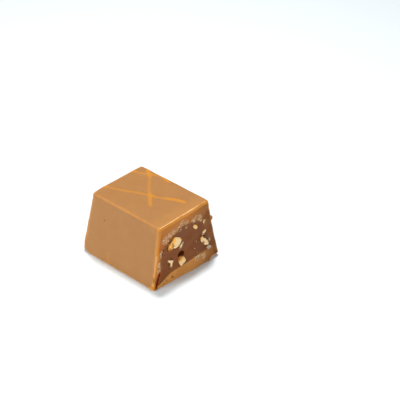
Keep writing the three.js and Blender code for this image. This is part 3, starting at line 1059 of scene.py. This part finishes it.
pits = [  # small holes in the cut: across, up, wide, high, turn, deep
    (-6.6, 8.95, 0.28, 0.75, 10, 0.5), (-6.95, 8.15, 0.2, 0.7, 20, 0.35),
    (-4.3, 0.95, 0.62, 0.4, -30, 0.8), (-6.1, 0.9, 0.5, 0.3, -20, 0.4),
    (-6.9, 0.6, 0.4, 0.25, 10, 0.4), (-5.0, 4.5, 0.5, 0.55, 20, 0.9),
    (-4.25, 5.6, 1.1, 0.2, -35, 0.5), (5.6, 6.75, 0.62, 0.55, -30, 1.0),
    (6.45, 5.65, 0.6, 0.5, -30, 0.9), (-3.72, 8.72, 0.5, 0.3, -20, 0.4),
    (-1.5, 12.05, 0.6, 0.2, -25, 0.35), (-0.25, 12.5, 0.3, 0.25, 0, 0.3),
    (4.6, 12.1, 0.4, 0.3, -30, 0.3), (-5.7, 11.1, 0.3, 0.2, 0, 0.25),
    (-2.4, 12.0, 0.3, 0.2, 20, 0.3), (2.9, 11.3, 0.3, 0.16, -20, 0.25),
]
bubble = {"y": -1.4, "z": 5.5, "across": 1, "up": 0.85, "deep": 2.2}
nutShape = {
    "step": 0.1,
    "hiddenEnd": 0.6,  # the size of its hidden end, against its outline in the cut
    "voxel": 0.06,
    "pocketGap": 0.04,
    "patchWander": 0.3, "patchPitch": 2,
}
holeShape = {"segments": 24, "rings": 12, "roughness": 0.3}


def makeNut(name, nut):
    # A prism through the cut, made flush with it, rounded at its hidden end and roughened.
    middle = Vector((0, *[sum(p[i] for p in nut["outline"]) / len(nut["outline"]) for i in (0, 1)]))
    piece = makePrism(name, finer(nut["outline"], nutShape["step"]), -nut["deep"], nut["proud"])
    selectIn(piece, "FACE", lambda face: face.normal.x < -straight)
    bpy.ops.transform.resize(value=(1, nutShape["hiddenEnd"], nutShape["hiddenEnd"]),
                             center_override=(0, middle.y, middle.z))
    bpy.ops.object.mode_set(mode="OBJECT")
    modify(piece, "REMESH", mode="VOXEL", voxel_size=nutShape["voxel"])
    for vertex in piece.data.vertices:
        vertex.co.x += cutXAt(vertex.co.y, vertex.co.z)
    modify(piece, "SMOOTH", factor=0.5, iterations=4)
    roughen(piece, "nutGrain")
    return piece


def nutPatchAt(patches):
    # A mask of the patches, with outlines that wander a little.
    wander, pitch = nutShape["patchWander"], nutShape["patchPitch"]

    def maskAt(co, normal):
        y, z = [
            along + wander * noise.noise(co * pitch + Vector((shift, 0, 0)))
            for along, shift in ((co.y, 0), (co.z, 5))
        ]
        return patchAt(patches, y, z)

    return maskAt


def makeHole(name, y, z, across, up, deep, turn=0):
    deselectAll()
    bpy.ops.mesh.primitive_uv_sphere_add(
        segments=holeShape["segments"], ring_count=holeShape["rings"], radius=1,
        location=(cutXAt(y, z), y, z), rotation=(math.radians(turn), 0, 0),
        scale=(deep, across, up),
    )
    hole = added(name)
    displace(hole, holeShape["roughness"] * min(across, up),
             clouds(name + "Wall", max(across, up)))
    return hole


holes = [
    makeHole("pit", y, z, wide / 2, high / 2, deep, turn)
    for y, z, wide, high, turn, deep in pits
]
pick(*holes)
bpy.ops.object.join()
pitCutter = bpy.context.object

for nutName, nut in nuts.items():
    piece = makeNut(nutName, nut)
    pocket = copyOf(piece, "pocket")
    displace(pocket, nutShape["pocketGap"], middle=0)
    cutWith(filling, pocket)
    cutWith(shell, pocket)
    discard(pocket)
    cutWith(piece, pitCutter)
    for patch in nutPatches:
        paint(piece, patch, nutPatchAt(nut.get(patch, [])))
    finishPiece(piece, nutName.title().replace("_", ""), hazelnut, (nutName,))
print("nuts set")

bubbleCutter = makeHole("bubble", **bubble)
cutWith(filling, bubbleCutter)
for piece in (filling, shell, closing):
    cutWith(piece, pitCutter)
discard(block, domeCutter, closingCutter, crackCutter, bubbleCutter, pitCutter)


# Crumbs on the cut: chips of chocolate and flecks of nut

crumbs = {
    "chips": {
        "perPatch": 12, "size": (0.08, 0.24), "slimness": (0.35, 0.8),
        "turn": (-45, 45),  # mean and spread
        "seed": 31, "lumpSeed": 5,
    },
    "fleckSeed": 12,
    "flecks": [  # across, up, length, width, turn
        (3.4, 6.4, 0.5, 0.16, 100), (2.7, 4.9, 0.35, 0.2, -20), (1.2, 9.2, 0.2, 0.14, 30),
        (-1.2, 11.75, 0.7, 0.25, -35), (-7.45, 8.6, 0.45, 0.2, -60), (-5.8, 11.4, 0.6, 0.35, 20),
        (0.4, 11.4, 0.4, 0.22, 40), (2.8, 11.9, 0.6, 0.25, -25), (3.3, 12.8, 0.5, 0.18, -25),
        (0.75, 12.5, 0.5, 0.35, 10), (-1.0, 13.25, 0.5, 0.28, -10), (5.1, 11.9, 0.3, 0.2, 50),
        (7.1, 5.1, 0.35, 0.25, 60), (7.2, 5.7, 0.3, 0.2, 10), (-5.6, 10.4, 0.4, 0.2, -50),
        (3.9, 2.3, 0.4, 0.25, 30), (4.9, 2.2, 0.35, 0.2, 70), (5.15, 1.1, 0.4, 0.28, -20),
        (2.7, 1.9, 0.3, 0.15, 80),
    ],
    "thickness": (0.5, 0.9),  # of a crumb's width
    "sunk": 0.3,  # of a crumb's thickness
    "tilt": (-0.3, 0.3),
    "breaks": 5, "detail": 1, "smoothAngle": 25,
    "above": 16,  # x that they fall from
    "patches": {"strength": 0.7, "fade": (0, 0.5), "pitch": 0.9, "shift": (3, 1, 0)},
}


def touchDown(trees, y, z):
    # Where a crumb comes to rest on the cut.
    start = Vector((crumbs["above"], y, z))
    hits = [tree.ray_cast(start, Vector((-1, 0, 0))) for tree in trees]
    return max((hit[0] for hit in hits if hit[0]), key=lambda place: place.x)


def crumbPatchAt(co, normal):
    patches = crumbs["patches"]
    value = noise.noise(co * patches["pitch"] + Vector(patches["shift"]))
    return patches["strength"] * smoothStep(*patches["fade"], value)


def makeCrumbs(name, crumbSizes, seed, material):
    # One small broken lump, copied to each place, turned and squashed at random.
    draw = random.Random(seed)
    pattern = makeLump("pattern", (0, 0, 0), (1, 1, 1), seed, crumbs["breaks"], crumbs["detail"])
    copies = []
    for y, z, length, width, turn in crumbSizes:
        place = touchDown(cutTrees, y, z)
        crumb = copyOf(pattern, name)
        thick = width * draw.uniform(*crumbs["thickness"])
        crumb.scale = (thick, length, width)
        tilts = [draw.uniform(*crumbs["tilt"]) for _ in range(2)]
        crumb.rotation_euler = (math.radians(turn), *tilts)
        crumb.location = place + Vector((thick * (0.5 - crumbs["sunk"]), 0, 0))
        copies.append(crumb)
    pick(*copies)
    bpy.ops.object.join()
    discard(pattern)
    crumbPiece = added(name)
    for patch in nutPatches:
        paint(crumbPiece, patch, crumbPatchAt)
    finishPiece(crumbPiece, name, material, smoothAngle=crumbs["smoothAngle"])


bpy.context.view_layer.update()
graph = bpy.context.evaluated_depsgraph_get()
cutTrees = [BVHTree.FromObject(piece, graph) for piece in (shell, filling, closing)]
chips = crumbs["chips"]
draw = random.Random(chips["seed"])
chipSizes = []
for y, z, radius in crumblyPatches:
    for _ in range(chips["perPatch"]):
        size = draw.uniform(*chips["size"])
        place = (y + draw.gauss(0, radius / 2), z + draw.gauss(0, radius / 2))
        width = size * draw.uniform(*chips["slimness"])
        chipSizes.append((*place, size, width, draw.gauss(*chips["turn"])))

crumbChocolate = foodMaterial("chocolate crumb", crumbLook, lambda tree, place, base, look: base)
makeCrumbs("ChocolateCrumbs", chipSizes, chips["lumpSeed"], crumbChocolate)
makeCrumbs("NutFlecks", crumbs["flecks"], crumbs["fleckSeed"], hazelnut)
print("crumbs scattered:", len(chipSizes), "and", len(crumbs["flecks"]))

for piece in (shell, closing):
    paint(piece, "crumbly", crumblyAt)
for piece in (shell, filling, closing):
    paint(piece, "farSide", farSideAt)
shellMasks = {
    "drizzle": drizzleAt,
    # painted glow on the edges, a painted highlight on the knife's lip and a painted orange glow
    # inside the cut's edges
    "paintedEdgeGlow": lineGlow(paintedGlowEdges),
    "lip": lineGlow(cutLipHighlights, sharpness=0.7),
    "amber": lineGlow(amberGlowBands),
    "stripe": stripeAt,
    "speck": speckAt,
    # the crack's painted shade and glow
    "crackWall": crackShadeAndGlowAt,
    "cutFace": cutFaceAt,
}
for name, maskAt in shellMasks.items():
    paint(shell, name, maskAt)
paint(filling, "crackWall", crackShadeAndGlowAt)
paint(filling, "rim", rimAt)
finishPiece(shell, "ChocolateShell", chocolate, ("shell",))
finishPiece(filling, "PralineFilling", praline, ("filling",))
finishPiece(closing, "ClosingLayer", closingChocolate, ("closing_layer",))
print("shell, filling and closing layer done:",
      [len(p.data.polygons) for p in (shell, filling, closing)])


# Floor, light and camera

studio = {
    "floorSize": 1.6, "floorColour": (0.89, 0.94, 0.96), "floorRoughness": 0.7,
    "azimuth": 43.1745, "elevation": 33.645, "distance": 331.6,
    "aim": (-6.223, 22.672, 0.2),
    "lens": 126.16, "sensor": 36, "nearest": 0.01,
    "world": 0.26, "worldTint": (0.94, 1, 1.04), "lightAim": (0, 0, 7),
}

deselectAll()
bpy.ops.mesh.primitive_plane_add(size=studio["floorSize"])
floor = bpy.context.object
floor.name = "Floor"
floorMaterial, _, floorSurface = shaderTree("white floor")
floorSurface.inputs["Base Color"].default_value = (*studio["floorColour"], 1)
floorSurface.inputs["Roughness"].default_value = studio["floorRoughness"]
floor.data.materials.append(floorMaterial)

world = bpy.data.worlds.new("soft white")
world.use_nodes = True
background = world.node_tree.nodes["Background"]
background.inputs["Color"].default_value = (*studio["worldTint"], 1)
background.inputs["Strength"].default_value = studio["world"]
bpy.context.scene.world = world

lights = {  # in millimetres and watts
    "keyLight": {"place": (-50, 56, 295), "size": 50, "power": 0.75},
    "frontLight": {"place": (-60, -200, 100), "size": 100, "power": 0.3},
    "cutLight": {"place": (170, 0, 60), "size": 110, "power": 0.08},
}
for lightName, light in lights.items():
    data = bpy.data.lights.new(lightName, "AREA")
    data.shape = "DISK"
    data.size = light["size"] * mm
    data.energy = light["power"]
    lamp = bpy.data.objects.new(lightName, data)
    bpy.context.scene.collection.objects.link(lamp)
    lamp.location = Vector(light["place"]) * mm
    towards = Vector(studio["lightAim"]) - Vector(light["place"])
    lamp.rotation_euler = towards.to_track_quat("-Z", "Y").to_euler()

turn, rise = math.radians(studio["azimuth"]), math.radians(studio["elevation"])
back = Vector((math.sin(turn) * math.cos(rise), -math.cos(turn) * math.cos(rise), math.sin(rise)))
cameraData = bpy.data.cameras.new("camera")
cameraData.lens = studio["lens"]
cameraData.sensor_width = studio["sensor"]
cameraData.clip_start = studio["nearest"]
camera = bpy.data.objects.new("camera", cameraData)
bpy.context.scene.collection.objects.link(camera)
camera.location = (Vector(studio["aim"]) + back * studio["distance"]) * mm
camera.rotation_euler = (-back).to_track_quat("-Z", "Y").to_euler()
bpy.context.scene.camera = camera
bpy.context.scene.view_settings.view_transform = "Standard"
print("studio set")
